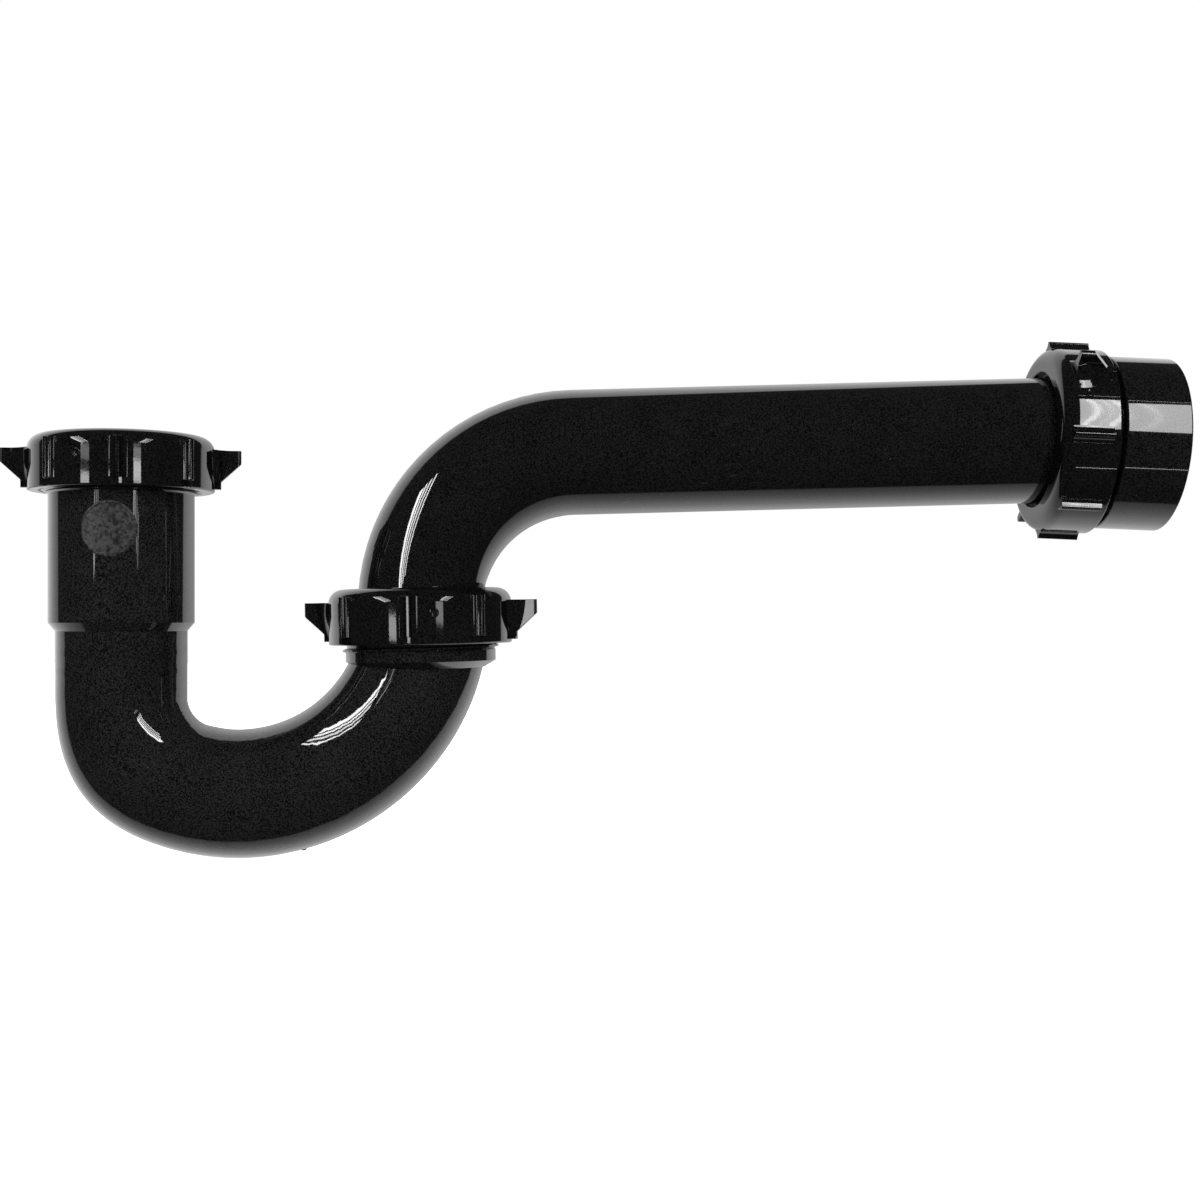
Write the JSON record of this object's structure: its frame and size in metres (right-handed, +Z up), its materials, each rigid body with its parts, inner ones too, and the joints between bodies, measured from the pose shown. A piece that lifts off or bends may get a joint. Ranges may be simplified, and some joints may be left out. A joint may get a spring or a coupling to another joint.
{
  "type": "p-trap",
  "caption": "Tubular P-trap: a J-bend that holds a water seal, a swivelling trap arm and a drain adapter, joined by winged slip nuts on washers.",
  "frame": {"origin": "centre of the inlet socket's rim, where the inlet washer sits", "axes": "+Z up along the inlet, +X along the trap towards the drain adapter, +Y across, away from the viewer in the front view"},
  "size_m": [0.3543, 0.06, 0.1576],
  "materials": {
    "black_abs": "moulded black ABS, glossy with fine handling scuffs",
    "washer_rubber": "soft black slip joint washer"
  },
  "bodies": {
    "j_bend": {"j_bend": "black_abs"},
    "inlet_washer": {"inlet_washer": "washer_rubber"},
    "inlet_nut": {"inlet_nut": "black_abs"},
    "trap_arm": {"trap_arm": "black_abs"},
    "outlet_washer": {"outlet_washer": "washer_rubber"},
    "outlet_nut": {"outlet_nut": "black_abs"},
    "trap_adapter": {"trap_adapter": "black_abs"},
    "adapter_washer": {"adapter_washer": "washer_rubber"},
    "adapter_nut": {"adapter_nut": "black_abs"}
  },
  "joints": [
    {"name": "inlet_washer_lift", "type": "slide", "parent": "j_bend", "child": "inlet_washer", "axis": [0, 0, 1], "range_m": [0, 0.00728]},
    {"name": "inlet_nut_turn", "type": "hinge", "parent": "inlet_washer", "child": "inlet_nut", "pos_m": [0, 0, 0], "axis": [0, 0, 1], "range_deg": [0, 1170]},
    {"name": "outlet_washer_lift", "type": "slide", "parent": "j_bend", "child": "outlet_washer", "axis": [-0.0175, 0, 0.9998], "range_m": [0, 0.00176]},
    {"name": "outlet_nut_turn", "type": "hinge", "parent": "outlet_washer", "child": "outlet_nut", "pos_m": [0.0913, 0, -0.04645], "axis": [-0.0175, 0, 0.9998], "range_deg": [0, 270]},
    {"name": "arm_swivel", "type": "hinge", "parent": "j_bend", "child": "trap_arm", "pos_m": [0.0913, 0, -0.04645], "axis": [-0.0175, 0, 0.9998], "range_deg": [-135, 135]},
    {"name": "adapter_slide", "type": "slide", "parent": "trap_arm", "child": "trap_adapter", "axis": [0.9997, 0, 0.0253], "range_m": [-0.012, 0.03]},
    {"name": "adapter_washer_lift", "type": "slide", "parent": "trap_adapter", "child": "adapter_washer", "axis": [-0.999, 0, 0.0436], "range_m": [0, 0.00728]},
    {"name": "adapter_nut_turn", "type": "hinge", "parent": "adapter_washer", "child": "adapter_nut", "pos_m": [0.28521, 0, 0.00444], "axis": [-0.999, 0, 0.0436], "range_deg": [0, 1170]}
  ],
  "couplings": [
    {"joint": "inlet_washer_lift", "follows": "inlet_nut_turn", "m_per_rad": 0.00035157},
    {"joint": "outlet_washer_lift", "follows": "outlet_nut_turn", "m_per_rad": 0.00035157},
    {"joint": "adapter_washer_lift", "follows": "adapter_nut_turn", "m_per_rad": 0.00035157}
  ]
}
